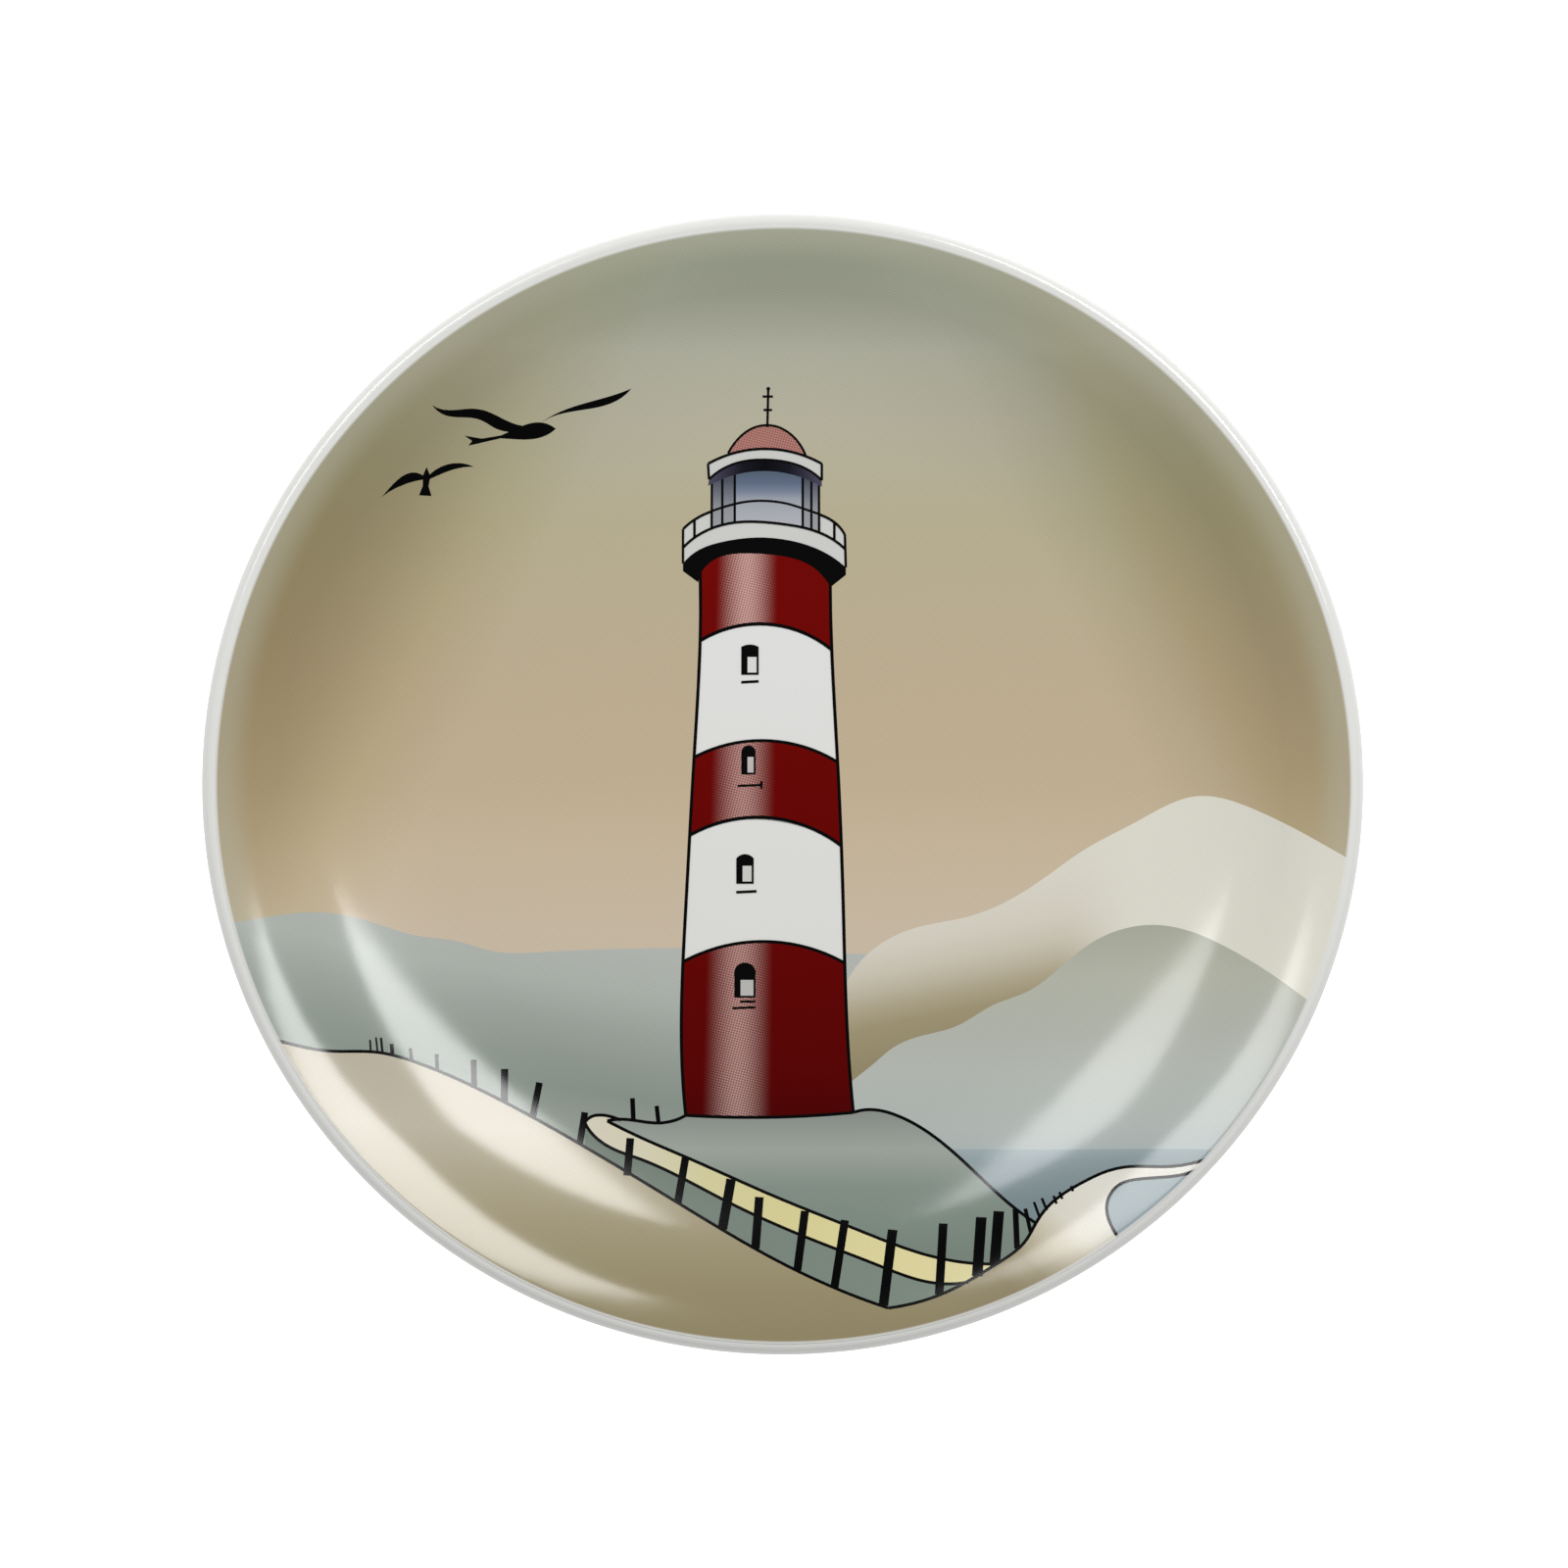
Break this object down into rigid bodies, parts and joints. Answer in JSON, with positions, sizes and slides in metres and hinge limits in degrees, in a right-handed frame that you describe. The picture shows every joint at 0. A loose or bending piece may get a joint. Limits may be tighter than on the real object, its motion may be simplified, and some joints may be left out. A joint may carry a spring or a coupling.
{
  "type": "souvenir plate",
  "caption": "Small round porcelain plate with a foot ring and a fired picture of a lighthouse among dunes, for show or as a pin dish.",
  "frame": {"origin": "centre of the foot ring's standing face", "axes": "+Z along the plate's axis, out of the decorated face; +Y towards the top of the picture"},
  "size_m": [0.12, 0.12, 0.0124],
  "materials": {
    "bisque": "matt unglazed porcelain",
    "glaze": "glossy clear glaze on white porcelain",
    "sky_colour": "glossy fired halftone, grey-green at the top to warm beige",
    "far_land_colour": "glossy fired halftone, grey-green",
    "pale_dune_colour": "glossy fired halftone, cream to brown",
    "green_hill_colour": "glossy fired halftone, grey-green to blue-grey",
    "sea_colour": "glossy fired halftone, blue-grey",
    "mound_colour": "glossy fired halftone, grey-green",
    "bank_colour": "glossy fired halftone, dark grey-green",
    "path_colour": "glossy fired halftone, cream to yellow",
    "near_sand_colour": "glossy fired halftone, beige to brown",
    "pool_colour": "glossy fired halftone, pale blue",
    "dome_colour": "glossy fired halftone, salmon",
    "lantern_colour": "glossy fired halftone, blue to pale grey",
    "roof_shadow_colour": "glossy fired colour, blue-black",
    "red_colour": "glossy fired colour, dark red with a halftone light stripe",
    "pane_colour": "glossy fired colour, pale grey",
    "black_colour": "glossy fired colour, black"
  },
  "bodies": {
    "root": {"porcelain_body": "bisque", "face_glaze": "glaze", "underside_glaze": "glaze", "sky_decal": "sky_colour", "far_land_decal": "far_land_colour", "pale_dune_decal": "pale_dune_colour", "green_hill_decal": "green_hill_colour", "sea_decal": "sea_colour", "mound_decal": "mound_colour", "bank_decal": "bank_colour", "path_decal": "path_colour", "near_sand_decal": "near_sand_colour", "pool_decal": "pool_colour", "dome_decal": "dome_colour", "lantern_decal": "lantern_colour", "roof_shadow_decal": "roof_shadow_colour", "upper_red_band_decal": "red_colour", "middle_red_band_decal": "red_colour", "lower_red_band_decal": "red_colour", "window_pane_decal": "pane_colour", "landscape_line_decal": "black_colour", "tower_line_decal": "black_colour", "finial_decal": "black_colour", "window_decal": "black_colour", "fence_post_decal": "black_colour", "far_post_decal": "black_colour", "large_gull_decal": "black_colour", "small_gull_decal": "black_colour"}
  },
  "joints": []
}
